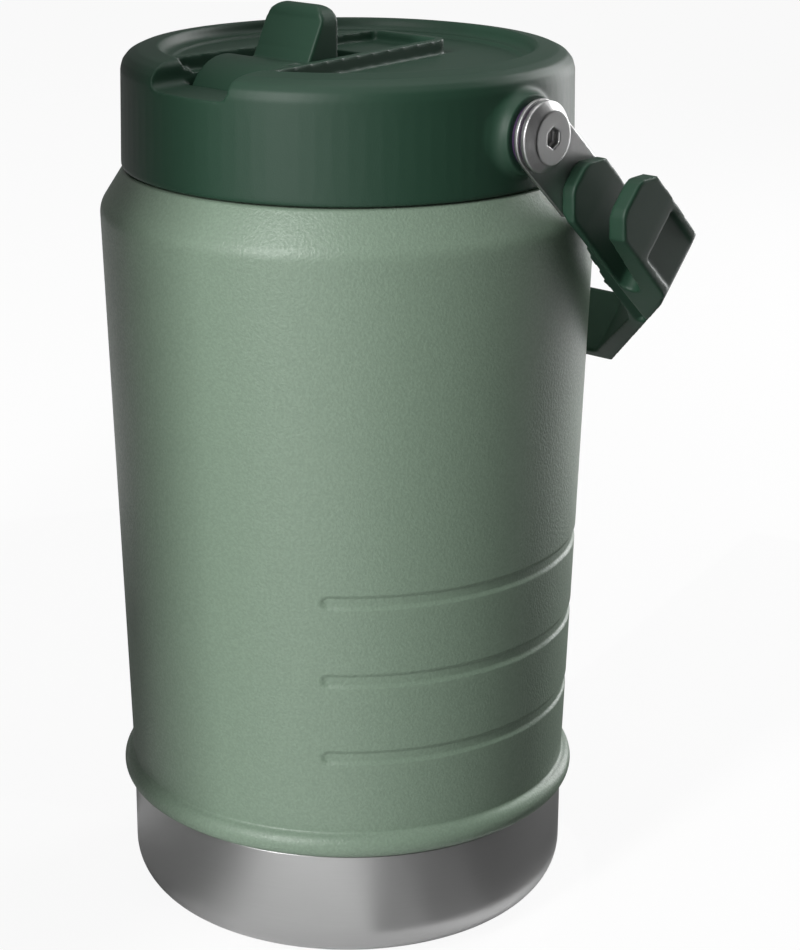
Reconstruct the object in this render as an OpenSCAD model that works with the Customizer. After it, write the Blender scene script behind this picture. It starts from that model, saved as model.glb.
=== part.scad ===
// Insulated growler: a double-walled steel jug with a screw-on lid, a flip-up
// drinking spout over a straw, and a swinging bail handle with two hook plates.
// Millimetres. The origin is the middle of the base's underside, +Z is up,
// -Y is the spout side and +X is the right-hand pivot of the handle.

/* [Jug body] */
// Radius of the jug at its shoulder edge
body_r = 64.3; // [58:0.1:72]
// How much smaller the jug's radius is just above the bottom bead
foot_step = 4.5; // [3:0.1:6]
// Height of the shoulder edge
shoulder_z = 191.4; // [170:0.2:230]
// Height from the shoulder edge to the ledge under the lid
shoulder_h = 9.9; // [8:0.1:14]
// Sheet thickness of the outer wall
wall = 1.0; // [0.8:0.1:1.4]
// Sheet thickness of the inner bottle
liner_wall = 0.9; // [0.8:0.1:1.2]
// Width of the vacuum gap between the walls
vacuum_gap = 4.2; // [3:0.1:5]

/* [Bead and base] */
// Height of the rolled bead's centre line
bead_z = 35.2; // [30:0.1:45]
// Radius of the bead's round section
bead_r = 3.4; // [2.6:0.1:3.8]
// Corner radius at the bottom of the steel base
base_corner_r = 11.5; // [8:0.5:14]
// Depth of the dished underside
dish_h = 2.0; // [1:0.1:3]
// Radius of the dished underside
dish_r = 42; // [34:1:44]

/* [Grip grooves] */
// Width of each groove
groove_w = 3.6; // [2.4:0.1:5]
// Depth of each groove
groove_d = 0.55; // [0.3:0.05:0.7]
// Height of the lowest groove
groove_z = 60; // [50:0.5:75]
// Spacing of the grooves
groove_pitch = 21.35; // [14:0.05:26]
// Direction in which the bare front panel faces, in degrees
panel_angle = -95.3; // [-110:0.1:-80]
// Angle covered by the bare front panel
panel_span = 87; // [60:1:120]

/* [Mouth and thread] */
// Width of the rolled lip round the mouth
lip_w = 5; // [4.4:0.1:5.6]
// Depth of the mouth's straight wall
mouth_h = 19; // [17:0.5:20]
// Pitch of the lid thread
pitch = 5; // [4:0.5:6]
// Number of thread turns
turns = 1.5; // [1:0.25:1.75]

/* [Lid] */
// How much smaller the lid's radius is than the jug's
lid_step = 6.3; // [5.5:0.1:7]
// Height of the lid above the ledge
lid_h = 30.9; // [30:0.1:34]
// Thickness of the lid's moulded walls
lid_wall = 2.4; // [2:0.1:2.7]
// Depth of the recess in the lid's top
recess_h = 4.1; // [3:0.1:4.6]
// Half width of the notch in the rim
notch_w = 13; // [11:0.25:14.5]
// Depth of the notch below the rim
notch_h = 6.8; // [5:0.1:8]

/* [Spout] */
// Radius of the spout's barrel
barrel_r = 12.5; // [11.2:0.1:13]
// Half width of the spout's barrel
barrel_w = 12.2; // [10.8:0.1:12.4]
// Distance of the barrel's axis in from the lid's rim
barrel_in = 25.4; // [24.4:0.1:27]
// Half width of the thumb tab
tab_w = 9.7; // [7:0.1:10.5]
// Height of the thumb tab above the rim
tab_h = 11.7; // [6:0.1:14]
// Thickness of the thumb tab
tab_t = 5.6; // [4:0.1:6.5]
// Distance of the tab's back from the barrel's axis
tab_y = 18.7; // [17.5:0.1:20]
// Radius of the hinge pins
pin_r = 2; // [1.5:0.1:2.6]

/* [Straw] */
// Outer radius of the straw
straw_r = 4; // [3.6:0.1:4.4]
// Wall of the straw
straw_wall = 0.8; // [0.6:0.1:1]
// Gap between the straw's foot and the bottle's floor
straw_gap = 6; // [3:0.5:15]

/* [Handle] */
// Height of the handle's pivot above the ledge
pivot_h = 14.7; // [14:0.1:16]
// Angle at which the handle hangs below horizontal
hang = 42.3; // [42:0.1:43.5]
// Half width of the steel straps
strap_w = 9; // [7:0.1:9.4]
// Thickness of the steel straps
strap_t = 1.2; // [1:0.1:1.4]
// Half width of the moulded grip
grip_w = 9.6; // [8:0.1:9.8]
// Gap between the jug and the crossbar's lower edge as it hangs
bar_gap = 1.4; // [1.2:0.1:8]
// Thickness of the crossbar and its corners
bar_t = 3.7; // [3.2:0.1:5.5]
// Distance from the pivots to the ends of the grip's arms
arm_end = 15.6; // [14:0.1:17]
// Distance from the pivots to the open ends of the hook plates
hook_end = 21.6; // [20:0.1:24]
// Distance from the pivots to the closed ends of the hook slots
slot_end = 53.1; // [48:0.1:56]
// Width of each hook slot at its mouth
slot_w = 9.2; // [7:0.1:10]
// Radius of the pivot bolts' heads
head_r = 8.8; // [7.5:0.1:9]

/* [Hidden] */
$fn = 48;
eps = 0.01;
run = 0.05;                          // running clearance, per side
ledge_z = shoulder_z + shoulder_h;   // ledge the lid's skirt stands over
rim_z = ledge_z + lid_h;             // crest of the lid's rim
deck_z = rim_z - recess_h;           // floor of the recess
pivot_z = ledge_z + pivot_h;
body_foot_r = body_r - foot_step;
taper = foot_step / (shoulder_z - bead_z - 9);
function body_at(z) = body_r - (shoulder_z - z) * taper;
lid_r = body_r - lid_step;           // radius of the lid at its rim
skirt_in = lid_r - lid_wall;         // bore of the lid's skirt
collar_r = skirt_in - 0.6;           // collar inside the lid's skirt
mouth_r = collar_r - lip_w;          // inner radius of the mouth
lip_z = ledge_z + 2.3;               // underside of the mouth's lip
lip_h = 0.9;
seal_z = lip_z + lip_h;              // face the gasket seals on
seal_h = 2.0;
foot_in = body_foot_r - 1.5;         // bore the base fits into
base_r = body_foot_r - 0.3;
base_top = bead_z - bead_r - 0.05;
liner_r = body_r - wall - vacuum_gap;
liner_foot_r = body_foot_r - wall - vacuum_gap - 0.9;
mouth_low = ledge_z - mouth_h + 1.5;
floor_z = 10;                        // underside of the inner bottle's floor
flange_z = seal_z + seal_h;          // underside of the inner lid's flange
plug_r = mouth_r - 1.6;
plug_low = mouth_low + 2.5;
groove_zs = [for (i = [0:2]) groove_z + i * groove_pitch];
axis_z = rim_z - barrel_r - 0.4;     // axis of the spout's barrel
seat_r = barrel_r + 0.4;
barrel_y = lid_r - barrel_in;        // distance of the barrel's axis from the lid's
tip_y = barrel_y - tab_y;            // back of the tab, where the mouthpiece starts
seal_low = axis_z - barrel_r - 2.9;  // top of the straw's socket
well_w = barrel_w + 0.6;             // half width of the spout's well
well_back = tip_y - 0.9;             // where the wide part of the well ends
nook_w = 8.6;                        // half width of the mouthpiece's part of the well
well_wall = 2.2;
well_low = axis_z - seat_r - 1.2;    // underside of the well's floor
frame_z = rim_z - 0.2;               // top of the raised frame
frame_t = 2.4;
frame_front = 16.2;                  // half width of the frame by the rim
frame_back = 12;                     // half width of the frame at its end
step_z = deck_z + 1.2;               // raised floor behind the mouthpiece
step_y = 17.9 - tip_y;
frame_y = step_y + 19.3;
frame_leg = frame_y + lid_r - 15.3;  // reaches into the rim
frame_slant = atan((frame_front - frame_back) / (frame_leg - 2.7));
port_r = straw_r - straw_wall;
face_x = lid_r + 2.9;                // face of the pivot boss
arm_x = face_x + 2.4;                // outer face of the strap
strap_x = arm_x - strap_t;           // inner face of the strap
ring_x = arm_x + 0.05;
head_x = ring_x + 0.45;
head_h = 3.4;
hex_af = 4.6;
foot_x = arm_x + 3.9;                // outer face of the grip's arms
strap_end = 39;                      // end of the strap's tail inside the grip
rivets = [28.5, 35.5];               // distances of the strap's rivets from the pivot
mid_t = 0.6;                         // how far the grip's middle line lies below the strap's
reach = (body_at(pivot_z - 1.12 * body_r) + bar_gap + (grip_w + mid_t) * sin(hang)) / cos(hang);

module dir(a) { rotate([0, 0, a]) children(); }
module both_sides() { children(); mirror([1, 0, 0]) children(); }
// lays a solid that stands along Z out along +X
module along_x() { rotate([90, 0, 90]) children(); }
// the handle's own frame at its pivots: X out, Z away from the pivots,
// Y across the strap's width, hanging at the angle hang
module hung() { translate([0, 0, pivot_z]) rotate([-90 - hang, 0, 0]) children(); }
// helical thread of lead pitch, broken by air slots: each quarter turn is an
// arc tilted to the helix angle, from root radius r0 to crest radius r1
module thread(r0, r1, z, base_w, crest_w) {
    tilt = atan(pitch / (2 * PI * r1));
    for (i = [0:round(4 * turns) - 1])
        translate([0, 0, z + pitch * (i + 0.5) / 4]) dir(90 * i) rotate([tilt, 0, 0])
            dir(-37) rotate_extrude(angle = 74)
                polygon([[r0, -base_w / 2], [r1, -crest_w / 2],
                         [r1, crest_w / 2], [r0, base_w / 2]]);
}

// Part to build

// ---- jug body -------------------------------------------------------------

// painted outer wall: foot, bead, tapered side, shoulder, ledge and collar
module outer_shell() color([0.50, 0.59, 0.51]) difference() {
    rotate_extrude() {
        polygon([
            [foot_in, base_top], [base_r, base_top], [base_r, bead_z],
            [body_at(bead_z + bead_r + 1.6) - 0.7, bead_z + bead_r + 0.2],
            [body_at(bead_z + bead_r + 1.6), bead_z + bead_r + 1.6],
            [body_r, shoulder_z], [lid_r, ledge_z], [collar_r, ledge_z],
            [collar_r, lip_z], [collar_r - wall, lip_z],
            [collar_r - wall, ledge_z - wall], [lid_r - wall, ledge_z - wall],
            [body_r - wall, shoulder_z - 0.4],
            [body_at(bead_z + 9) - wall, bead_z + 9], [foot_in, bead_z + 6]]);
        intersection() {
            translate([base_r - 0.7, bead_z]) circle(bead_r);
            translate([foot_in, bead_z - bead_r]) square([20, 2 * bead_r]);
        }
    }
    // grip grooves with sloping sides and round ends, leaving the front panel bare
    for (z = groove_zs) let (x = body_at(z) - groove_d, w = groove_w / 2)
        dir(panel_angle + panel_span / 2) translate([0, 0, z]) {
            rotate_extrude(angle = 360 - panel_span) polygon([
                [x, 0.7 - w], [x + 2, -w - 1.6], [x + 2, w + 1.6], [x, w - 0.7]]);
            for (a = [0, 360 - panel_span]) dir(a) translate([x + 0.02, 0, 0]) along_x()
                cylinder(r1 = w - 0.75, r2 = w + 1.55, h = 2.1);
        }
}

// spun steel base that closes the outer wall
module base_cup() color([0.72, 0.72, 0.73]) rotate_extrude() difference() {
    union() {
        translate([0, base_corner_r]) square([base_r, base_top - base_corner_r]);
        square([base_r - base_corner_r, base_corner_r + eps]);
        translate([base_r - base_corner_r, base_corner_r]) intersection() {
            circle(base_corner_r);
            translate([-eps, -base_corner_r]) square([base_corner_r + eps, base_corner_r + eps]);
        }
        translate([0, base_top - eps]) square([foot_in - 0.1, 6]);
    }
    translate([-eps, base_corner_r]) square([foot_in - wall + eps, 60]);
    translate([-eps, dish_h + wall]) square([base_r - base_corner_r + eps, 60]);
    translate([base_r - base_corner_r, base_corner_r]) intersection() {
        circle(base_corner_r - wall - 0.2);
        translate([-eps, dish_h + wall - base_corner_r]) square([base_corner_r, base_corner_r + eps]);
    }
    translate([-eps, -eps]) square([dish_r + eps, dish_h + eps]);
}

// disc welded over the evacuation hole under the base
module seal_disc() color([0.66, 0.66, 0.67])
    translate([0, 0, dish_h - 0.8]) cylinder(r = 9, h = 0.8);

// inner bottle: lip, threaded mouth, shoulder, wall and floor
module liner() color([0.76, 0.76, 0.77]) union() {
    rotate_extrude() difference() {
        polygon(bottle(0));
        polygon(bottle(liner_wall));
    }
    // lip over the collar
    rotate_extrude() translate([mouth_r, lip_z]) square([collar_r - mouth_r, lip_h]);
    thread(mouth_r + liner_wall / 2, mouth_r - 0.95, plug_low + 3.2, 2.4, 1.0);
}
// half section of the inner bottle, inset by t, with a round bottom corner
function bottle(t) = let (foot = liner_foot_r - t, r = 9 - t, top = seal_z + sign(t))
    concat(
        [[0, top], [0, floor_z + t]],
        [for (i = [0:8]) let (a = -90 + 90 * i / 8)
            [foot - r + r * cos(a), floor_z + t + r + r * sin(a)]],
        [[liner_r - t, mouth_low - 9 - 0.3 * t],
         [mouth_r + liner_wall - t, mouth_low - 0.3 * t],
         [mouth_r + liner_wall - t, top]]);

// getter pellet's holder under the inner bottle's floor, inside the vacuum
module getter() color([0.55, 0.55, 0.56])
    translate([0, 22, floor_z - 1.6]) cylinder(r = 6, h = 1.6);

// ---- lid ------------------------------------------------------------------

// silicone ring between the mouth's lip and the lid
module lid_gasket() color([0.82, 0.82, 0.80]) rotate_extrude() difference() {
    translate([mouth_r + 0.6, seal_z]) square([collar_r - mouth_r - 1.0, seal_h - run]);
    translate([collar_r - 0.4, seal_z + seal_h / 2]) circle(0.35);
    translate([mouth_r + 0.6, seal_z + seal_h / 2]) circle(0.35);
}

// plan of the raised frame, grown by d, with legs of the length given
frame_rc = 2.6;
frame_cx = frame_back - frame_rc * (1 - sin(frame_slant)) / cos(frame_slant);
function frame_plan(d, leg) = let (
    r = frame_rc + d, cy = frame_y - frame_rc,
    corner = [for (i = [0:5]) let (a = frame_slant + (90 - frame_slant) * i / 5)
        [frame_cx + r * cos(a), cy + r * sin(a)]],
    front = corner[0] + leg * [sin(frame_slant), -cos(frame_slant)],
    right = concat([front], corner))
    concat(right, [for (i = [len(right) - 1:-1:0]) [-right[i][0], right[i][1]]]);
// raised U-shaped frame round the spout, narrowing towards the back
module frame() translate([0, 0, deck_z - lid_wall / 2])
    linear_extrude(height = frame_z - deck_z + lid_wall / 2) difference() {
        polygon(frame_plan(frame_t / 2, frame_leg));
        polygon(frame_plan(-frame_t / 2, frame_leg + 4));
    }

// moulded outer lid: skirt, domed rim, recessed deck, frame, well and bosses
module lid_cap() color([0.13, 0.24, 0.18]) difference() {
    union() {
        difference() {
            union() {
                rotate_extrude() difference() {
                    union() {
                        polygon([
                            [0, ledge_z + 0.4], [lid_r + 0.2, ledge_z + 0.4],
                            [lid_r + 0.5, ledge_z + 0.9], [lid_r + 0.5, ledge_z + 1.5],
                            [lid_r, rim_z - 5.6], [lid_r - 0.55, rim_z - 3.7],
                            [lid_r - 2, rim_z - 2.0], [lid_r - 4.4, rim_z - 0.9],
                            [lid_r - 9.4, rim_z - 0.1], [lid_r - 9.7, rim_z - 0.15],
                            [lid_r - 10.3, rim_z - 1.0], [lid_r - 10.9, deck_z + 1.6],
                            [lid_r - 11.9, deck_z + 0.9], [lid_r - 13.2, deck_z + 0.9],
                            [lid_r - 13.6, deck_z], [0, deck_z]]);
                    }
                    translate([-eps, -eps]) square([skirt_in, deck_z - lid_wall]);
                }
                frame();
                // raised floor at the back of the frame
                translate([-frame_back + 0.6, step_y, deck_z - eps])
                    cube([2 * frame_back - 1.2, frame_y - step_y, step_z - deck_z + eps]);
                // pivot bosses, flared where they leave the skirt
                both_sides() intersection() {
                    translate([0, 0, pivot_z]) along_x() rotate_extrude() difference() {
                        union() {
                            translate([0, skirt_in - 8]) square([7.5, 8]);
                            translate([0, skirt_in + 0.3]) square([13, face_x - skirt_in - 0.3]);
                        }
                        translate([14.2, face_x + 0.3]) circle(4.4);
                        translate([9.8, face_x - 0.01]) square(10);
                    }
                    translate([0, -20, ledge_z + 1]) cube([2 * lid_r, 40, lid_h - 4]);
                }
                // walls and floor of the spout's well, and the pad under the notch
                intersection() {
                    union() {
                        translate([-notch_w - 2, -skirt_in - 1, rim_z - notch_h - 2.4])
                            cube([2 * notch_w + 4, skirt_in - barrel_y - 10.4, 4]);
                        translate([-well_w - well_wall, -barrel_y - seat_r - 1.6, well_low])
                            cube([2 * (well_w + well_wall),
                                  seat_r + 1.6 + barrel_y - well_back + well_wall, deck_z - 1.2 - well_low]);
                        translate([-nook_w - well_wall, -tip_y - 2, well_low])
                            cube([2 * (nook_w + well_wall), tip_y + 2 + step_y + well_wall,
                                  deck_z - 1.2 - well_low]);
                    }
                    translate([0, 0, ledge_z]) cylinder(r = skirt_in + 0.5, h = lid_h);
                }
            }
            // seat for the barrel, and the open well above and behind it
            translate([-well_w, -barrel_y, axis_z]) along_x() cylinder(r = seat_r, h = 2 * well_w);
            translate([-well_w, -barrel_y, axis_z - 6]) cube([2 * well_w, barrel_y - well_back, 40]);
            translate([-well_w, -barrel_y - seat_r, rim_z - notch_h])
                cube([2 * well_w, seat_r + 1, 40]);
            translate([-nook_w, -barrel_y, axis_z - 7]) cube([2 * nook_w, barrel_y + step_y, 40]);
            // notch through the rim, with round lower corners and a flared mouth
            translate([0, -barrel_y - 7.4, 0]) rotate([90, 0, 0]) linear_extrude(height = 30) {
                translate([-notch_w, rim_z - notch_h + 2.4]) square([2 * notch_w, 20]);
                translate([-notch_w + 2.4, rim_z - notch_h]) square([2 * notch_w - 4.8, 20]);
                for (s = [-1, 1]) translate([s * (notch_w - 2.4), rim_z - notch_h + 2.4])
                    circle(2.4);
                difference() {
                    translate([-notch_w - 2.4, rim_z - 2.6]) square([2 * notch_w + 4.8, 9]);
                    for (s = [-1, 1]) translate([s * (notch_w + 2.4), rim_z - 2.6])
                        circle(2.4);
                }
            }
        }
    }
    // straw port through the well's floor
    translate([0, -barrel_y, seal_low - 4]) cylinder(r = 5.0, h = 10);
    // hinge pin bores in the well's walls
    both_sides() translate([well_w - 0.5, -barrel_y, axis_z]) along_x()
        cylinder(r = pin_r, h = well_wall - 0.1);
    // stepped bores for the bolts and their inserts
    both_sides() translate([0, 0, pivot_z]) along_x() {
        translate([0, 0, skirt_in - 9]) cylinder(r = 4.4, h = 9);
        translate([0, 0, skirt_in - 0.1]) cylinder(r = 4.0 + run, h = 12);
    }
}

// inner lid: sealing flange, threaded plug and sleeve for the straw's socket
module lid_inner() color([0.20, 0.22, 0.21]) difference() {
    union() {
        rotate_extrude() polygon([
            [plug_r - 2.2, flange_z + 1.8], [skirt_in - 0.1, flange_z + 1.8], [skirt_in - 0.1, flange_z],
            [plug_r, flange_z], [plug_r, plug_low + 1.5], [plug_r - 1.5, plug_low],
            [0, plug_low], [0, plug_low + 2], [plug_r - 2.2, plug_low + 2]]);
        translate([0, -barrel_y, plug_low]) cylinder(r = 7.4, h = seal_low - 0.6 - plug_low);
        thread(plug_r - 1.0, plug_r + 1.15, plug_low + 3.2 + pitch / 2 - 0.35, 2.8, 1.0);
    }
    translate([0, -barrel_y, plug_low - 1]) cylinder(r = 5.6, h = 60);
    translate([18, 8, plug_low - 1]) cylinder(r = 1.2, h = 9);
    // room for the spout's well
    translate([-well_w - well_wall - 0.1, -barrel_y - seat_r - 1.7, well_low - 0.1])
        cube([2 * (well_w + well_wall + 0.1), seat_r + 20, 10]);
}

// foam disc sealed between the outer and inner lids
module lid_foam() color([0.90, 0.90, 0.86]) difference() {
    translate([0, 0, plug_low + 2]) cylinder(r = plug_r - 2.2, h = seal_low - 3.1 - plug_low);
    translate([0, -barrel_y, plug_low]) cylinder(r = 7.4, h = 60);
    translate([18, 8, plug_low]) cylinder(r = 3.2, h = 60);
}

// silicone seal between the barrel and the straw port
module spout_seal() color([0.80, 0.80, 0.78]) translate([0, -barrel_y, 0]) difference() {
    translate([0, 0, seal_low]) cylinder(r = 5.0, h = 2.9 - 0.06);
    translate([0, 0, seal_low - 1]) cylinder(r = port_r, h = 5);
}

// one-way air valve under the inner lid
module vent_valve() color([0.80, 0.80, 0.78]) translate([18, 8, plug_low]) {
    translate([0, 0, -0.7]) cylinder(r = 3.6, h = 0.7);
    cylinder(r = 1.2, h = 2);
    translate([0, 0, 2]) cylinder(r = 1.9, h = 1.2);
}

// socket the straw pushes into
module straw_socket() color([0.86, 0.87, 0.85]) translate([0, -barrel_y, 0]) difference() {
    union() {
        translate([0, 0, plug_low - 9]) cylinder(r = 5.6, h = seal_low - 0.6 - plug_low + 9);
        translate([0, 0, plug_low - 1.6]) cylinder(r = 7.4, h = 1.6);
        translate([0, 0, seal_low - 0.6 - eps]) cylinder(r = 5.0, h = 0.6 + eps);
    }
    translate([0, 0, plug_low - 10]) cylinder(r = straw_r + 0.04, h = 14);
    translate([0, 0, plug_low - 1]) cylinder(r = port_r, h = 60);
}

// drinking straw down to the bottle's floor
module straw() color([0.88, 0.89, 0.87]) translate([0, -barrel_y, floor_z + liner_wall + straw_gap])
    difference() {
        cylinder(r = straw_r, h = plug_low + 4 - floor_z - liner_wall - straw_gap);
        translate([0, 0, -1]) cylinder(r = port_r, h = 300);
    }

// stub pins the spout turns on
module hinge_pins() color([0.74, 0.74, 0.75]) both_sides()
    translate([barrel_w - 4.4, -barrel_y, axis_z]) along_x()
        cylinder(r = pin_r, h = well_w + well_wall - barrel_w + 3.8);

// threaded brass inserts moulded into the pivot bosses
module inserts() color([0.72, 0.58, 0.30]) both_sides()
    translate([skirt_in - 7.9, 0, pivot_z]) along_x() difference() {
        cylinder(r = 4.4, h = 7.9 - 0.1);
        translate([0, 0, -1]) cylinder(r = 3.0, h = 20);
    }

// nylon washers between the bosses and the straps
module boss_washers() color([0.16, 0.16, 0.17]) both_sides()
    translate([face_x, 0, pivot_z]) along_x() difference() {
        cylinder(r = 8.0, h = strap_x - face_x - 0.05);
        translate([0, 0, -1]) cylinder(r = 4.0 + run, h = 4);
    }

// dark friction rings under the bolt heads
module head_rings() color([0.14, 0.10, 0.16]) both_sides()
    translate([ring_x, 0, pivot_z]) along_x() difference() {
        cylinder(r = 7.9, h = head_x - ring_x);
        translate([0, 0, -1]) cylinder(r = 4.0 + run, h = 4);
    }

// shoulder bolts with a bevelled head and a hex socket
module pivot_bolts() color([0.75, 0.74, 0.75]) both_sides()
    translate([0, 0, pivot_z]) along_x() difference() {
        union() {
            translate([0, 0, head_x]) rotate_extrude() polygon([
                [0, 0], [head_r - 0.3, 0], [head_r, 0.3], [head_r, head_h - 2.1],
                [head_r - 2.1, head_h - 0.1], [head_r - 2.4, head_h], [0, head_h]]);
            translate([0, 0, skirt_in - 0.1]) cylinder(r = 4.0, h = head_x - skirt_in + 0.2);
            translate([0, 0, skirt_in - 7.5]) cylinder(r = 3.0, h = 8);
        }
        translate([0, 0, head_x + head_h - 2.2])
            rotate([0, 0, 30]) cylinder(r = hex_af / sqrt(3), h = 3, $fn = 6);
    }

// ---- flip spout -----------------------------------------------------------

// side view of the spout behind its barrel, about the barrel's axis
module spout_side() {
    b = barrel_r;
    top = rim_z - axis_z + tab_h;
    front = tab_y - tab_t;
    difference() {
        union() {
            circle(b);
            translate([0, -5]) square([tab_y, b + 3.8]);
            polygon([[front - 5, b - 1], [front - 3.2, b + 2.6], [front, top - 3.2],
                     [front, top - tab_t / 2], [tab_y, top - tab_t / 2], [tab_y, b - 5]]);
            translate([tab_y - tab_t / 2, top - tab_t / 2]) circle(tab_t / 2);
        }
        // hollow that blends the barrel into the front of the tab
        translate([front - 7.0, b + 3.3]) circle(3.8);
    }
}

// flip-up spout: barrel, thumb tab and nipple, with the drinking channel
module spout() color([0.14, 0.25, 0.19]) difference() {
    union() {
        translate([-barrel_w, -barrel_y, axis_z]) along_x() cylinder(r = barrel_r, h = 2 * barrel_w);
        intersection() {
            translate([-tab_w, -barrel_y, axis_z]) along_x()
                linear_extrude(height = 2 * tab_w) spout_side();
            // rounded outline of the tab from the front, widening to the barrel
            translate([0, 0, axis_z - barrel_r]) rotate([90, 0, 0])
                linear_extrude(height = 120, center = true) {
                    h = rim_z + tab_h - axis_z + barrel_r;
                    translate([-tab_w, 0]) square([2 * tab_w, h - 5]);
                    translate([-tab_w + 5, 0]) square([2 * tab_w - 10, h]);
                    for (s = [-1, 1]) translate([s * (tab_w - 5), h - 5]) circle(5);
                }
        }
        // nipple that holds the mouthpiece
        translate([0, -tip_y - 0.7, axis_z]) rotate([-90, 0, 0]) cylinder(r = 4.34, h = 11);
    }
    // drinking channel straight through barrel and nipple
    translate([0, -barrel_y - 20, axis_z]) rotate([-90, 0, 0]) cylinder(r = port_r, h = 80);
    // blind bores for the hinge pins
    both_sides() translate([barrel_w - 4.6, -barrel_y, axis_z]) along_x()
        cylinder(r = pin_r + run, h = 10);
}

// soft mouthpiece pushed over the nipple
module mouthpiece() color([0.24, 0.27, 0.25])
    translate([0, -tip_y + 0.1, axis_z]) rotate([-90, 0, 0])
        rotate_extrude() polygon([[4.4, 0], [6.0, 0], [6.4, 0.8], [6.4, 2.4], [5.6, 3.4],
            [5.2, 13.4], [4.4, 14.6], [port_r, 14.6], [port_r, 10.3], [4.4, 10.3]]);

// ---- handle ---------------------------------------------------------------

// outline of a strap, the eye at its origin and its tail along -X, grown by d
module strap_outline(d = 0) {
    neck = strap_w - 4.4 + d;
    circle(r = strap_w + d);
    translate([-hook_end - 0.6, -strap_w - d]) square([hook_end + 0.6, 2 * (strap_w + d)]);
    polygon([[-hook_end - 0.5, -strap_w - d], [-hook_end - 0.5, strap_w + d],
             [4 - rivets[0], neck], [3 - strap_end, neck - 0.8], [-strap_end - d, neck - 2.6],
             [-strap_end - d, 2.6 - neck], [3 - strap_end, 0.8 - neck], [4 - rivets[0], -neck]]);
}
// steel straps from the pivots into the grip
module straps() color([0.70, 0.70, 0.71]) hung() both_sides()
    translate([strap_x, 0, 0]) rotate([0, 90, 0]) difference() {
        linear_extrude(height = strap_t) strap_outline();
        translate([0, 0, -1]) cylinder(r = 5, h = 4);
        for (s = rivets) translate([-s, 0, -1]) cylinder(r = 1.6, h = 4);
    }

// nylon bushes in the straps' eyes
module bushes() color([0.18, 0.18, 0.19]) hung() both_sides()
    translate([strap_x, 0, 0]) rotate([0, 90, 0]) difference() {
        cylinder(r = 5, h = strap_t);
        translate([0, 0, -1]) cylinder(r = 4.0 + run, h = 4);
    }

// one arm of the grip and its half of the crossbar, X out and Y away from the pivots
module grip_arm() {
    a = arm_x;
    r = reach;
    polygon([
        [a - 0.2, 15], [foot_x, 15], [foot_x - 0.3, 27], [foot_x - 1.8, slot_end - 1],
        [a + 6.7, slot_end + 2], [a + 15.5, slot_end - 1.6], [a + 15.3, slot_end - 0.2],
        [a + 11.1, slot_end + 5.7], [0.59 * a, r + bar_t], [0, r + bar_t],
        [0, r], [0.52 * a, r], [0.55 * a, r - 0.9], [a - 4.9, 0.73 * r], [a - 3.3, 0.68 * r],
        [a - 1.7, 0.42 * r], [a - 0.3, 30], [a - 0.3, 22], [a - 0.2, 22]]);
}
// the hook plate beside the arm, with the slot between them open towards the pivot
module grip_hook() {
    a = arm_x;
    e = slot_end;
    difference() {
        polygon([[a - 3.3, e - 2], [a + 3.7, e - 2], [a + 3.7, 20], [a + 16.6, 20],
                 [a + 16.4, 35.5], [a + 15.5, e - 1.6], [a + 14.9, e + 0.3], [a + 11.1, e + 5.7],
                 [a - 1.3, e + 5.7]]);
        polygon([[a - 3.3, 10], [a + slot_w + 2.7, 10], [a + slot_w + 2.7, 22], [a + slot_w + 1.9, 30],
                 [a + 9.1, 45], [a + 8.5, e - 3.1], [a + 2.2, e - 3.1], [a + 3.6, 27]]);
        translate([a + 5.35, e - 3.1]) circle(3.15);
        translate([a - 3.3, 40]) square([5.4, e - 42]);
    }
}
// outline of a plate seen from outside, with its free end's corners cut and rounded
module plate_outline(end, cut) {
    far = 2 * reach;
    polygon([[end + cut + 1, -grip_w], [end + 0.8, -grip_w + cut], [end, -grip_w + cut + 2],
             [end, grip_w - cut - 2], [end + 0.8, grip_w - cut], [end + cut + 1, grip_w],
             [far, grip_w], [far, -grip_w]]);
}
// the children's outline across the grip's width, trimmed to a plate's outline
module plate(end, cut) intersection() {
    translate([0, grip_w, 0]) rotate([90, 0, 0]) linear_extrude(height = 2 * grip_w) children();
    rotate([180, -90, 0]) linear_extrude(height = 4 * arm_x, center = true) plate_outline(end, cut);
}
// moulded grip: two arms with hook plates, joined by the crossbar
module grip() color([0.13, 0.25, 0.18]) hung() difference() {
    translate([0, mid_t, 0]) both_sides() {
        plate(arm_end, 5) grip_arm();
        plate(hook_end, 4) grip_hook();
    }
    // shallow panel in each hook plate's outer face
    both_sides() translate([arm_x + 14.8, mid_t - 7.2, slot_end - 14.6]) cube([4, 14.4, 30]);
    // bevels along the arms' inner lower edges, clear of the jug's shoulder
    both_sides() translate([arm_x - 0.3, mid_t + grip_w, 40]) rotate([0, 0, 45])
        cube([2.6, 2.6, 60], center = true);
    // pocket for each strap, and the blind bores for its rivets
    both_sides() translate([strap_x - 3, 0, 0]) rotate([0, 90, 0]) {
        linear_extrude(height = 3 + strap_t + 0.02) strap_outline(0.02);
        for (s = rivets) translate([-s, 0, 3]) cylinder(r = 1.6, h = strap_t + 1.1);
    }
}

// rivets that hold the straps in the grip
module strap_rivets() color([0.68, 0.68, 0.69]) hung() both_sides()
    for (s = rivets) translate([strap_x - 0.6, 0, s]) rotate([0, 90, 0]) {
        cylinder(r = 1.6, h = 0.6 + strap_t + 1.0);
        cylinder(r = 2.6, h = 0.6);
    }

outer_shell();
base_cup();
seal_disc();
liner();
getter();
lid_gasket();
lid_cap();
lid_inner();
lid_foam();
spout_seal();
vent_valve();
straw_socket();
straw();
hinge_pins();
inserts();
boss_washers();
head_rings();
pivot_bolts();
spout();
mouthpiece();
straps();
bushes();
grip();
strap_rivets();
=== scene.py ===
"""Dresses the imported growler: finishes, detailed pieces, studio and camera."""

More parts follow.
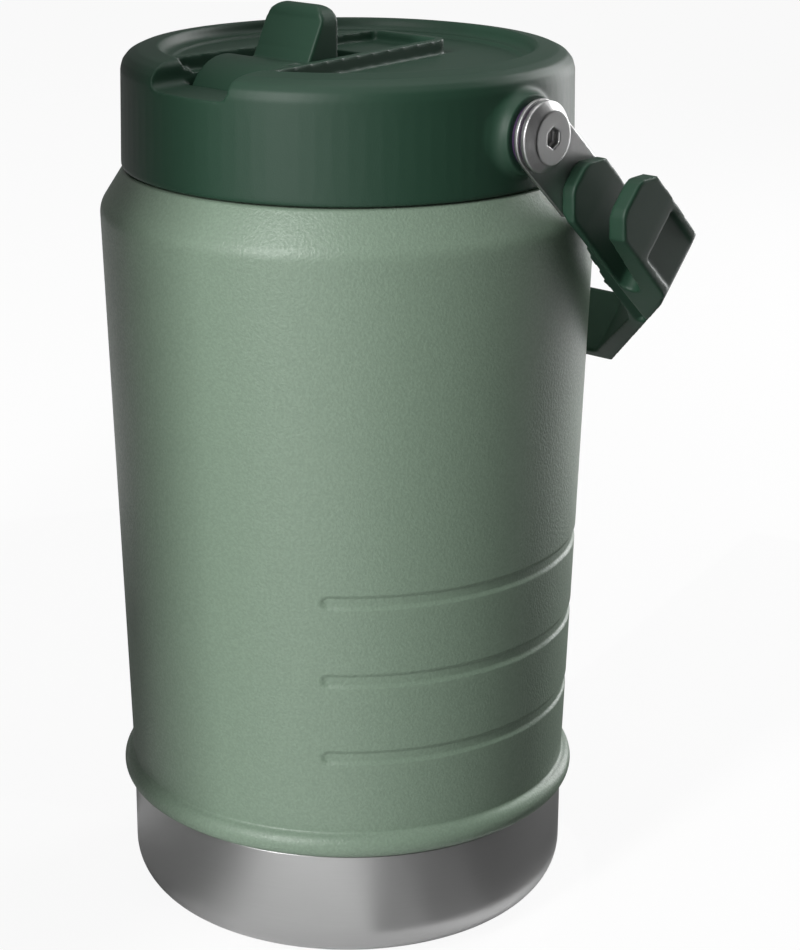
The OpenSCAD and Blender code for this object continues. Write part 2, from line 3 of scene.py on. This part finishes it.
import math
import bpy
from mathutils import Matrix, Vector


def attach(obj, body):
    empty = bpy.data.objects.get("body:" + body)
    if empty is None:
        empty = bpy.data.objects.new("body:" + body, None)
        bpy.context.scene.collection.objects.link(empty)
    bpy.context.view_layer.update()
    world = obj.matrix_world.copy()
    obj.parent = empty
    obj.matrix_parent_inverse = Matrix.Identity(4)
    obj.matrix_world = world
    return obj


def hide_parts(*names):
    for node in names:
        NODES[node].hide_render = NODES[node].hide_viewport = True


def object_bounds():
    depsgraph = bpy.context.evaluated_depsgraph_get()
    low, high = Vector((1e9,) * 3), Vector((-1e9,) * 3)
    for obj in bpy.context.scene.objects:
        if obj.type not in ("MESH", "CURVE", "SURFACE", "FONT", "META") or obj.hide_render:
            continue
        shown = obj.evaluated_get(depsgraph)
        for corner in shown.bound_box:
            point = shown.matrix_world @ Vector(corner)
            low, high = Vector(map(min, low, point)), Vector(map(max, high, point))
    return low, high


bl_info = {
    "name": "Insulated growler",
    "version": (1, 0, 0),
    "blender": (4, 5, 0),
    "location": "3D View > Sidebar > Growler",
    "description": "Adds finishes, moulded detail and a studio to the growler's CAD frame",
    "category": "Object",
}

import bmesh
import bpy
from bpy.props import FloatProperty, FloatVectorProperty, PointerProperty
from mathutils import Matrix, Vector

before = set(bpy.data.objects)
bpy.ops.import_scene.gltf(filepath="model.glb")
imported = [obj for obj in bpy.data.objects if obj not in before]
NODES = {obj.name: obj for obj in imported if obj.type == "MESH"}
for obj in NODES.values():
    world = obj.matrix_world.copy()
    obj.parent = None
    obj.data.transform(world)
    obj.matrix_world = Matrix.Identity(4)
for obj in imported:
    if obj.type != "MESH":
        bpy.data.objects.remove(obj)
CAD_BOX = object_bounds()


# ---- sizes and colours ----------------------------------------------------

def colour(name, description, default):
    return FloatVectorProperty(
        name=name, description=description, subtype="COLOR", size=3,
        min=0.0, max=1.0, default=default,
    )


class GrowlerColours(bpy.types.PropertyGroup):
    body_green: colour("Body green", "Powder coat on the jug, linear colour", (0.190, 0.262, 0.196))
    body_light: colour("Body fleck", "Paler flecks in the hammertone coat", (0.216, 0.297, 0.222))
    lid_green: colour("Lid green", "Moulded lid, spout and grip", (0.017, 0.050, 0.030))
    steel: colour("Steel", "Bare brushed steel", (0.56, 0.56, 0.56))
    silicone: colour("Silicone", "Seals and valve", (0.62, 0.62, 0.60))
    dark_nylon: colour("Dark nylon", "Washers, rings and bushes", (0.045, 0.020, 0.065))
    brass: colour("Brass", "Threaded inserts", (0.60, 0.42, 0.16))
    floor_white: colour("Floor", "Studio floor and background", (0.90, 0.90, 0.90))


class GrowlerSizes(bpy.types.PropertyGroup):
    grain: FloatProperty(
        name="Coat grain", description="Size of the hammertone's dimples",
        default=0.0007, min=0.0004, max=0.004, unit="LENGTH",
    )
    camera_away: FloatProperty(
        name="Camera distance", description="Camera's distance from the jug's axis",
        default=0.6166, min=0.3, max=3.0, unit="LENGTH",
    )
    camera_height: FloatProperty(
        name="Camera height", description="Camera's height over the floor",
        default=0.3214, min=0.0, max=2.0, unit="LENGTH",
    )
    camera_side: FloatProperty(
        name="Camera side", description="Angle round from the spout side",
        default=math.radians(42.8), subtype="ANGLE",
    )
    camera_tilt: FloatProperty(
        name="Camera tilt", description="Angle that the camera looks down",
        default=math.radians(18.435), subtype="ANGLE",
    )


def colours():
    return bpy.context.scene.growler_colours


def sizes():
    return bpy.context.scene.growler_sizes


# ---- shader helpers -------------------------------------------------------

def new_group(name, inputs, outputs):
    """An empty shader node group with float, vector or colour sockets."""
    kinds = {"f": "NodeSocketFloat", "v": "NodeSocketVector", "c": "NodeSocketColor"}
    group = bpy.data.node_groups.new(name, "ShaderNodeTree")
    for label, kind, value in inputs:
        socket = group.interface.new_socket(label, in_out="INPUT", socket_type=kinds[kind])
        if value is not None:
            socket.default_value = value
    for label, kind in outputs:
        group.interface.new_socket(label, in_out="OUTPUT", socket_type=kinds[kind])
    return group, group.nodes.new("NodeGroupInput"), group.nodes.new("NodeGroupOutput")


def link(tree, source, target):
    tree.links.new(source, target)


def math_node(tree, operation, a, b=None):
    node = tree.nodes.new("ShaderNodeMath")
    node.operation = operation
    for socket, value in zip(node.inputs, (a, b)):
        if value is None:
            continue
        if isinstance(value, (int, float)):
            socket.default_value = value
        else:
            link(tree, value, socket)
    return node.outputs[0]


def hammertone_group():
    """Dimpled powder coat: a fleck mask and a height."""
    group, gin, gout = new_group(
        "hammertone", [("Vector", "v", None), ("Grain", "f", 900.0)],
        [("Fleck", "f"), ("Height", "f")],
    )
    scaled = group.nodes.new("ShaderNodeVectorMath")
    scaled.operation = "SCALE"
    link(group, gin.outputs["Vector"], scaled.inputs[0])
    link(group, gin.outputs["Grain"], scaled.inputs["Scale"])
    fine = group.nodes.new("ShaderNodeTexNoise")
    fine.inputs["Scale"].default_value = 1.0
    fine.inputs["Detail"].default_value = 2.0
    fine.inputs["Roughness"].default_value = 0.55
    link(group, scaled.outputs[0], fine.inputs["Vector"])
    ramp = group.nodes.new("ShaderNodeValToRGB")
    ramp.color_ramp.elements[0].position = 0.38
    ramp.color_ramp.elements[1].position = 0.66
    link(group, fine.outputs["Fac"], ramp.inputs["Fac"])
    link(group, ramp.outputs["Color"], gout.inputs["Fleck"])
    link(group, fine.outputs["Fac"], gout.inputs["Height"])
    return group


def brushed_group():
    """Fine streaks round the Z axis: a streak mask from angle and height."""
    group, gin, gout = new_group(
        "brushed_round", [("Vector", "v", None), ("Fineness", "f", 9000.0), ("Length", "f", 3.0)],
        [("Streak", "f")],
    )
    parts = group.nodes.new("ShaderNodeSeparateXYZ")
    link(group, gin.outputs["Vector"], parts.inputs[0])
    angle = math_node(group, "ARCTAN2", parts.outputs["Y"], parts.outputs["X"])
    along = math_node(group, "MULTIPLY", angle, gin.outputs["Length"])
    across = math_node(group, "MULTIPLY", parts.outputs["Z"], gin.outputs["Fineness"])
    place = group.nodes.new("ShaderNodeCombineXYZ")
    link(group, along, place.inputs["X"])
    link(group, across, place.inputs["Y"])
    noise = group.nodes.new("ShaderNodeTexNoise")
    noise.inputs["Scale"].default_value = 1.0
    noise.inputs["Detail"].default_value = 3.0
    noise.inputs["Roughness"].default_value = 0.6
    link(group, place.outputs[0], noise.inputs["Vector"])
    link(group, noise.outputs["Fac"], gout.inputs["Streak"])
    return group


def soft_grain_group():
    """Very fine moulding grain for matte plastics."""
    group, gin, gout = new_group(
        "soft_grain", [("Vector", "v", None), ("Grain", "f", 4000.0)],
        [("Height", "f"), ("Shade", "f")],
    )
    scaled = group.nodes.new("ShaderNodeVectorMath")
    scaled.operation = "SCALE"
    link(group, gin.outputs["Vector"], scaled.inputs[0])
    link(group, gin.outputs["Grain"], scaled.inputs["Scale"])
    noise = group.nodes.new("ShaderNodeTexNoise")
    noise.inputs["Scale"].default_value = 1.0
    noise.inputs["Detail"].default_value = 2.0
    link(group, scaled.outputs[0], noise.inputs["Vector"])
    link(group, noise.outputs["Fac"], gout.inputs["Height"])
    link(group, noise.outputs["Fac"], gout.inputs["Shade"])
    return group


def groups():
    """The shared node groups, built once."""
    made = bpy.data.node_groups
    return {
        "hammertone": made.get("hammertone") or hammertone_group(),
        "brushed_round": made.get("brushed_round") or brushed_group(),
        "soft_grain": made.get("soft_grain") or soft_grain_group(),
    }


def material(name, base, roughness, metallic=0.0, **sockets):
    """A new material with constants on the Principled shader's own sockets."""
    mat = bpy.data.materials.new(name)
    mat.use_nodes = True
    shader = mat.node_tree.nodes["Principled BSDF"]
    shader.inputs["Base Color"].default_value = (*base, 1.0)
    shader.inputs["Roughness"].default_value = roughness
    shader.inputs["Metallic"].default_value = metallic
    for label, value in sockets.items():
        shader.inputs[label.replace("_", " ")].default_value = value
    return mat, mat.node_tree, shader


def place_group(tree, name, tipped=False, **values):
    """Puts a shared group in a material, fed with object coordinates, tipped so that Z lies along Y."""
    node = tree.nodes.new("ShaderNodeGroup")
    node.node_tree = groups()[name]
    where = tree.nodes.new("ShaderNodeTexCoord")
    source = where.outputs["Object"]
    if tipped:
        tip = tree.nodes.new("ShaderNodeMapping")
        tip.inputs["Rotation"].default_value = (math.radians(90.0), 0.0, 0.0)
        link(tree, source, tip.inputs["Vector"])
        source = tip.outputs["Vector"]
    link(tree, source, node.inputs["Vector"])
    for label, value in values.items():
        node.inputs[label].default_value = value
    return node


def bump(tree, shader, height, distance, strength=1.0):
    node = tree.nodes.new("ShaderNodeBump")
    node.inputs["Distance"].default_value = distance
    node.inputs["Strength"].default_value = strength
    link(tree, height, node.inputs["Height"])
    link(tree, node.outputs["Normal"], shader.inputs["Normal"])


def mix_colours(tree, factor, a, b):
    node = tree.nodes.new("ShaderNodeMix")
    node.data_type = "RGBA"
    link(tree, factor, node.inputs["Factor"])
    node.inputs["A"].default_value = (*a, 1.0)
    node.inputs["B"].default_value = (*b, 1.0)
    return node.outputs["Result"]


def spread(tree, value, low, high):
    """Maps a 0 to 1 value onto a narrow band."""
    node = tree.nodes.new("ShaderNodeMapRange")
    link(tree, value, node.inputs["Value"])
    node.inputs["To Min"].default_value = low
    node.inputs["To Max"].default_value = high
    return node.outputs["Result"]


# ---- materials ------------------------------------------------------------

def hammertone_coat():
    c = colours()
    mat, tree, shader = material("hammertone_coat", c.body_green, 0.42, IOR=1.5)
    coat = place_group(tree, "hammertone", Grain=1.0 / sizes().grain)
    link(tree, mix_colours(tree, coat.outputs["Fleck"], c.body_green, c.body_light),
         shader.inputs["Base Color"])
    link(tree, spread(tree, coat.outputs["Fleck"], 0.46, 0.36), shader.inputs["Roughness"])
    bump(tree, shader, coat.outputs["Height"], 0.0003, 0.42)
    return mat


def moulded_green(name="moulded_green", roughness=0.50):
    c = colours()
    mat, tree, shader = material(name, c.lid_green, roughness, IOR=1.42)
    grain = place_group(tree, "soft_grain", Grain=3500.0)
    lighter = tuple(min(1.0, v * 1.10) for v in c.lid_green)
    link(tree, mix_colours(tree, grain.outputs["Shade"], c.lid_green, lighter),
         shader.inputs["Base Color"])
    bump(tree, shader, grain.outputs["Height"], 0.00008, 0.30)
    return mat


def brushed_steel(name="brushed_steel", fineness=9000.0, length=3.0, roughness=0.34, tipped=False):
    c = colours()
    mat, tree, shader = material(name, c.steel, roughness, metallic=1.0)
    streaks = place_group(tree, "brushed_round", tipped, Fineness=fineness, Length=length)
    darker = tuple(v * 0.86 for v in c.steel)
    link(tree, mix_colours(tree, streaks.outputs["Streak"], darker, c.steel),
         shader.inputs["Base Color"])
    link(tree, spread(tree, streaks.outputs["Streak"], roughness - 0.05, roughness + 0.07),
         shader.inputs["Roughness"])
    bump(tree, shader, streaks.outputs["Streak"], 0.00005, 0.35)
    return mat


def grained_plain(name, base, roughness, metallic=0.0, grain=3000.0, strength=0.2):
    mat, tree, shader = material(name, base, roughness, metallic)
    made = place_group(tree, "soft_grain", Grain=grain)
    link(tree, spread(tree, made.outputs["Shade"], roughness - 0.04, roughness + 0.04),
         shader.inputs["Roughness"])
    bump(tree, shader, made.outputs["Height"], 0.00006, strength)
    return mat


def dress(mat, *names):
    """Gives CAD nodes a material."""
    for name in names:
        piece = NODES[name]
        piece.data.materials.clear()
        piece.data.materials.append(mat)


# ---- pieces ---------------------------------------------------------------

MM = 0.001
BODY_R, FOOT_STEP = 64.3, 4.5
SHOULDER_Z, LEDGE_Z, BEAD_Z = 191.4, 201.3, 35.2
GROOVES = (60.0, 81.35, 102.7)
GROOVE_HALF, GROOVE_DEEP = 1.8, 0.62
PANEL_MIDDLE, PANEL_SPAN = math.radians(-95.3), math.radians(87.0)


def body_radius(z):
    return BODY_R - (SHOULDER_Z - z) * FOOT_STEP / (SHOULDER_Z - BEAD_Z - 9.0)


def rounded(corners, steps=6):
    """A path through (radius, height, fillet) corners, each cut by a curve."""
    points = []
    count = len(corners)
    for i, (x, z, fillet) in enumerate(corners):
        here = Vector((x, z))
        if fillet <= 0.0:
            points.append(here)
            continue
        before, after = Vector(corners[i - 1][:2]), Vector(corners[(i + 1) % count][:2])
        start = here + (before - here).normalized() * min(fillet, (before - here).length * 0.49)
        end = here + (after - here).normalized() * min(fillet, (after - here).length * 0.49)
        for k in range(steps + 1):
            t = k / steps
            points.append(start * (1 - t) ** 2 + here * 2 * t * (1 - t) + end * t * t)
    return points


def wall_section():
    """The painted wall's closed section, rounded at its edges, in mm."""
    bead = [(58.8 + 3.4 * math.cos(a), BEAD_Z + 3.4 * math.sin(a), 0.0)
            for a in (math.radians(d) for d in range(-74, 71, 8))]
    low, high = BEAD_Z + 5.0, SHOULDER_Z - 3.0
    side = []
    z = low + 1.5
    while z < high:
        near = min(abs(z - g) for g in GROOVES)
        side.append((body_radius(z), z, 0.0))
        z += 0.3 if near < 3.0 else min(4.0, near - 2.5)
    outside = [(59.6, BEAD_Z + 3.6, 0.3), (body_radius(low), low, 1.2)] + side
    top = [(BODY_R, SHOULDER_Z, 2.0), (58.0, LEDGE_Z, 0.8), (55.0, LEDGE_Z, 0.4),
           (55.0, LEDGE_Z + 2.3, 0.0), (54.0, LEDGE_Z + 2.3, 0.0), (54.0, LEDGE_Z - 1.0, 0.0),
           (57.0, LEDGE_Z - 1.0, 0.0), (BODY_R - 1.2, SHOULDER_Z - 0.4, 0.0),
           (body_radius(44.2) - 1.2, 44.2, 0.0), (58.3, 41.2, 0.0), (58.3, 31.75, 0.0)]
    return rounded(bead + outside + top)


def groove_depth(angle, z):
    """How far a point of the wall sinks into the nearest round-ended groove, in mm."""
    across = min(abs(z - g) for g in GROOVES)
    if across > GROOVE_HALF + 0.6 or z > GROOVES[-1] + 3.0:
        return 0.0
    off = abs((angle - PANEL_MIDDLE + math.pi) % (2 * math.pi) - math.pi)
    inside = (PANEL_SPAN / 2 - off) * body_radius(z)
    away = math.hypot(across, max(0.0, inside))
    t = min(1.0, max(0.0, (GROOVE_HALF + 0.35 - away) / 1.25))
    return GROOVE_DEEP * t * t * (3 - 2 * t)


def base_section():
    """The spun steel base's closed section, in mm."""
    corner = [(48.0 + 11.5 * math.sin(a), 11.5 - 11.5 * math.cos(a), 0.0)
              for a in (math.radians(d) for d in range(90, -1, -6))]
    return rounded([(58.2, 31.7, 0.0), (59.5, 31.7, 0.35)] + corner +
                   [(43.0, 0.0, 0.8), (42.0, 2.0, 0.8), (0.0, 2.0, 0.0), (0.0, 3.0, 0.0),
                    (48.0, 3.0, 0.0), (57.3, 11.5, 2.0), (57.3, 37.6, 0.0), (58.2, 37.6, 0.0)])


def turned(name, section, segments, dent=None):
    """A closed section in mm turned round the Z axis, dented where dent says so."""
    bm = bmesh.new()
    rings = []
    for point in section:
        if point.x < 1e-6:
            rings.append([bm.verts.new((0.0, 0.0, point.y * MM))])
            continue
        ring = []
        for i in range(segments):
            angle = 2 * math.pi * i / segments
            r = point.x
            if dent and point.x > 58.9 and point.y > 45.0:
                r -= dent(angle, point.y)
            ring.append(bm.verts.new((r * MM * math.cos(angle), r * MM * math.sin(angle), point.y * MM)))
        rings.append(ring)
    for a, b in zip(rings, rings[1:] + rings[:1]):
        if len(a) == 1 and len(b) == 1:
            continue
        for i in range(segments):
            j = (i + 1) % segments
            corners = [a[i % len(a)], a[j % len(a)], b[j % len(b)], b[i % len(b)]]
            bm.faces.new(list(dict.fromkeys(corners)))
    bmesh.ops.recalc_face_normals(bm, faces=bm.faces)
    mesh = bpy.data.meshes.new(name)
    bm.to_mesh(mesh)
    bm.free()
    return context_link(bpy.data.objects.new(name, mesh))


def softened(node, name, voxel, passes):
    """A copy of a moulded CAD piece with every edge rounded off."""
    piece = context_link(bpy.data.objects.new(name, NODES[node].data.copy()))
    blend = piece.modifiers.new("blend", "REMESH")
    blend.mode = "VOXEL"
    blend.voxel_size = voxel
    smooth = piece.modifiers.new("smooth", "SMOOTH")
    smooth.factor = 0.5
    smooth.iterations = passes
    graph = bpy.context.evaluated_depsgraph_get()
    mesh = bpy.data.meshes.new_from_object(piece.evaluated_get(graph))
    piece.modifiers.clear()
    piece.data = mesh
    return piece


def finish_piece(piece, node, body, mat):
    """Smooth shading, a finish, and the piece's place in the frame."""
    piece.data.materials.clear()
    piece.data.materials.append(mat)
    piece.data.shade_smooth()
    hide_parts(node)
    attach(piece, body)


# ---- operators ------------------------------------------------------------

class GROWLER_OT_finishes(bpy.types.Operator):
    """Give every CAD piece its finish"""
    bl_idname = "growler.finishes"
    bl_label = "Finishes"

    def execute(self, context):
        c = colours()
        plain = grained_plain("satin_steel", c.steel, 0.34, metallic=1.0)
        dress(plain, "liner", "seal_disc", "getter", "hinge_pins", "strap_rivets")
        dress(grained_plain("dark_nylon", c.dark_nylon, 0.45),
              "boss_washers", "head_rings", "bushes")
        dress(grained_plain("silicone", c.silicone, 0.5),
              "lid_gasket", "spout_seal", "vent_valve")
        dress(grained_plain("inner_plastic", (0.035, 0.042, 0.038), 0.5), "lid_inner")
        dress(grained_plain("foam", (0.78, 0.78, 0.72), 0.9), "lid_foam")
        dress(grained_plain("clear_white", (0.70, 0.72, 0.69), 0.35), "straw", "straw_socket")
        dress(grained_plain("turned_brass", c.brass, 0.3, metallic=1.0), "inserts")
        dress(grained_plain("soft_mouthpiece", (0.045, 0.060, 0.050), 0.6), "mouthpiece")
        return {"FINISHED"}


class GROWLER_OT_jug(bpy.types.Operator):
    """Turn the painted wall with its grooves and the steel base"""
    bl_idname = "growler.jug"
    bl_label = "Jug wall and base"

    def execute(self, context):
        wall = turned("jug_wall", wall_section(), 576, groove_depth)
        finish_piece(wall, "outer_shell", "jug", hammertone_coat())
        base = turned("steel_base", base_section(), 288)
        finish_piece(base, "base_cup", "jug", brushed_steel())
        return {"FINISHED"}


class GROWLER_OT_mouldings(bpy.types.Operator):
    """Round the moulded lid, spout and grip off"""
    bl_idname = "growler.mouldings"
    bl_label = "Mouldings"

    def execute(self, context):
        green = moulded_green()
        for node, name, body, voxel, passes in (
                ("lid_cap", "lid_moulding", "lid", 0.00040, 7),
                ("spout", "spout_moulding", "spout", 0.00035, 8),
                ("grip", "grip_moulding", "handle", 0.00045, 6)):
            finish_piece(softened(node, name, voxel, passes), node, body, green)
        return {"FINISHED"}


class GROWLER_OT_pivots(bpy.types.Operator):
    """Round off the edges of the shoulder bolts and the straps"""
    bl_idname = "growler.pivots"
    bl_label = "Bolts and straps"

    def execute(self, context):
        bolt = brushed_steel("brushed_bolt", 7000.0, 2.0, 0.36, tipped=True)
        finish_piece(softened("pivot_bolts", "shoulder_bolts", 0.00022, 3), "pivot_bolts", "lid", bolt)
        strap = brushed_steel("brushed_strap", 6000.0, 2.0, 0.40, tipped=True)
        finish_piece(softened("straps", "strap_blades", 0.00022, 3), "straps", "handle", strap)
        return {"FINISHED"}


class GROWLER_OT_stage(bpy.types.Operator):
    """Set up the floor, lamps, background and camera"""
    bl_idname = "growler.stage"
    bl_label = "Studio"

    def execute(self, context):
        floor()
        background()
        lamps()
        camera()
        return {"FINISHED"}


# ---- studio ---------------------------------------------------------------

def floor():
    size = 6.0
    mesh = bpy.data.meshes.new("floor")
    mesh.from_pydata(
        [(-size, -size, 0), (size, -size, 0), (size, size, 0), (-size, size, 0)], [],
        [(0, 1, 2, 3)],
    )
    plane = bpy.data.objects.new("floor", mesh)
    plane.location.z = CAD_BOX[0][2] - 0.0002
    context_link(plane)
    mat, tree, shader = material("studio_floor", colours().floor_white, 0.9)
    path = tree.nodes.new("ShaderNodeLightPath")
    glow = tree.nodes.new("ShaderNodeEmission")
    glow.inputs["Strength"].default_value = 1.0
    glow.inputs["Color"].default_value = (1.0, 1.0, 1.0, 1.0)
    blend = tree.nodes.new("ShaderNodeMixShader")
    share = math_node(tree, "MULTIPLY", path.outputs["Is Camera Ray"], 0.93)
    link(tree, share, blend.inputs[0])
    link(tree, shader.outputs[0], blend.inputs[1])
    link(tree, glow.outputs[0], blend.inputs[2])
    link(tree, blend.outputs[0], tree.nodes["Material Output"].inputs["Surface"])
    mesh.materials.append(mat)


def context_link(obj):
    bpy.context.scene.collection.objects.link(obj)
    return obj


def background():
    world = bpy.data.worlds.new("studio")
    bpy.context.scene.world = world
    world.use_nodes = True
    tree = world.node_tree
    tree.nodes.clear()
    path = tree.nodes.new("ShaderNodeLightPath")
    seen = math_node(tree, "MAXIMUM", path.outputs["Is Camera Ray"],
                     path.outputs["Is Transmission Ray"])
    dim, white = (tree.nodes.new("ShaderNodeBackground") for _ in range(2))
    dim.inputs["Color"].default_value = (1.0, 1.0, 1.0, 1.0)
    dim.inputs["Strength"].default_value = 0.20
    white.inputs["Color"].default_value = (1.0, 1.0, 1.0, 1.0)
    white.inputs["Strength"].default_value = 1.0
    blend = tree.nodes.new("ShaderNodeMixShader")
    out = tree.nodes.new("ShaderNodeOutputWorld")
    link(tree, seen, blend.inputs[0])
    link(tree, dim.outputs[0], blend.inputs[1])
    link(tree, white.outputs[0], blend.inputs[2])
    link(tree, blend.outputs[0], out.inputs["Surface"])


def softbox(name, place, aim, width, height, power):
    light = bpy.data.lights.new(name, "AREA")
    light.shape = "RECTANGLE"
    light.size, light.size_y, light.energy = width, height, power
    lamp = bpy.data.objects.new(name, light)
    lamp.location = place
    lamp.rotation_euler = (Vector(aim) - Vector(place)).to_track_quat("-Z", "Y").to_euler()
    context_link(lamp)


def round_camera(side, away, height):
    """A point at an angle round from the camera's side, in metres."""
    angle = sizes().camera_side + math.radians(side)
    return (away * math.sin(angle), -away * math.cos(angle), height)


def lamps():
    aim = (0.0, 0.0, 0.12)
    softbox("key", round_camera(-34, 1.1, 0.70), aim, 0.16, 1.0, 15.0)
    softbox("rim", round_camera(132, 1.0, 0.40), aim, 0.30, 0.9, 8.0)
    softbox("top", (0.0, 0.1, 1.3), aim, 0.9, 0.9, 3.5)
    flag("flag_right", 47, 0.22, 0.32, 0.5)
    flag("flag_left", -72, 0.20, 0.28, 0.5)
    # Painted shade: dark sheets on the floor, darker further round to the right, stand in for the shaded
    # floor that the steel base reflects.
    paint_floor_shade("floor_shade_near", 8, 26, 0.36)
    paint_floor_shade("floor_shade_middle", 26, 48, 0.22)
    paint_floor_shade("floor_shade_right", 48, 150, 0.13)
    paint_floor_shade("floor_shade_left", -170, -112, 0.25)


def paint_floor_shade(name, start, end, shade):
    """Painted shade: a dark sheet on the floor round one side, unseen by the camera and casting no
    shadow, standing in for the floor's shade in the steel's reflections and in bounce light.
    """
    near, far, steps = 0.068, 0.32, 12
    points = []
    for i in range(steps + 1):
        side = start + (end - start) * i / steps
        points += [round_camera(side, near, CAD_BOX[0][2]), round_camera(side, far, CAD_BOX[0][2])]
    mesh = bpy.data.meshes.new(name)
    mesh.from_pydata(points, [], [(2 * i, 2 * i + 1, 2 * i + 3, 2 * i + 2) for i in range(steps)])
    mesh.materials.append(material(name, (shade, shade, shade), 1.0)[0])
    shade_sheet = context_link(bpy.data.objects.new(name, mesh))
    shade_sheet.visible_camera = False
    shade_sheet.visible_shadow = False


def flag(name, side, away, width, height):
    """A black board that keeps light off one side, unseen by the camera."""
    x, y, _ = round_camera(side, away, 0.0)
    across = Vector((y, -x, 0.0)).normalized() * width / 2
    foot = Vector((x, y, CAD_BOX[0][2]))
    rise = Vector((0.0, 0.0, height))
    mesh = bpy.data.meshes.new(name)
    mesh.from_pydata([foot - across, foot + across, foot + across + rise, foot - across + rise],
                     [], [(0, 1, 2, 3)])
    mesh.materials.append(material(name, (0.01, 0.01, 0.01), 1.0)[0])
    board = context_link(bpy.data.objects.new(name, mesh))
    board.visible_camera = False


def camera():
    s = sizes()
    data = bpy.data.cameras.new("camera")
    data.sensor_width = 36.0
    data.lens = 91.07
    data.shift_x = 0.0551
    data.dof.use_dof = False
    view = bpy.data.objects.new("camera", data)
    side, tilt = s.camera_side, s.camera_tilt
    ahead = Vector((-math.sin(side) * math.cos(tilt), math.cos(side) * math.cos(tilt), -math.sin(tilt)))
    right = Vector((math.cos(side), math.sin(side), 0.0))
    up = right.cross(ahead)
    turn = Matrix((right, up, -ahead)).transposed().to_4x4()
    view.matrix_world = Matrix.Translation(round_camera(0, s.camera_away, s.camera_height)) @ turn
    context_link(view)
    bpy.context.scene.camera = view
    bpy.context.scene.view_settings.view_transform = "Standard"


# ---- registration ---------------------------------------------------------

OPERATORS = (GROWLER_OT_finishes, GROWLER_OT_jug, GROWLER_OT_mouldings, GROWLER_OT_pivots,
             GROWLER_OT_stage)


class GROWLER_PT_panel(bpy.types.Panel):
    """Lists the growler's sizes, colours and steps"""
    bl_idname = "GROWLER_PT_panel"
    bl_label = "Growler"
    bl_space_type = "VIEW_3D"
    bl_region_type = "UI"
    bl_category = "Growler"

    def draw(self, context):
        for group in (colours(), sizes()):
            for key in group.__annotations__:
                self.layout.prop(group, key)
        for operator in OPERATORS:
            self.layout.operator(operator.bl_idname)


CLASSES = (GrowlerColours, GrowlerSizes, *OPERATORS, GROWLER_PT_panel)


def register():
    for cls in CLASSES:
        bpy.utils.register_class(cls)
    bpy.types.Scene.growler_colours = PointerProperty(type=GrowlerColours)
    bpy.types.Scene.growler_sizes = PointerProperty(type=GrowlerSizes)


def unregister():
    del bpy.types.Scene.growler_sizes
    del bpy.types.Scene.growler_colours
    for cls in reversed(CLASSES):
        bpy.utils.unregister_class(cls)


def main():
    register()
    bpy.ops.growler.finishes()
    bpy.ops.growler.jug()
    bpy.ops.growler.mouldings()
    bpy.ops.growler.pivots()
    bpy.ops.growler.stage()


if __name__ == "__main__":
    main()
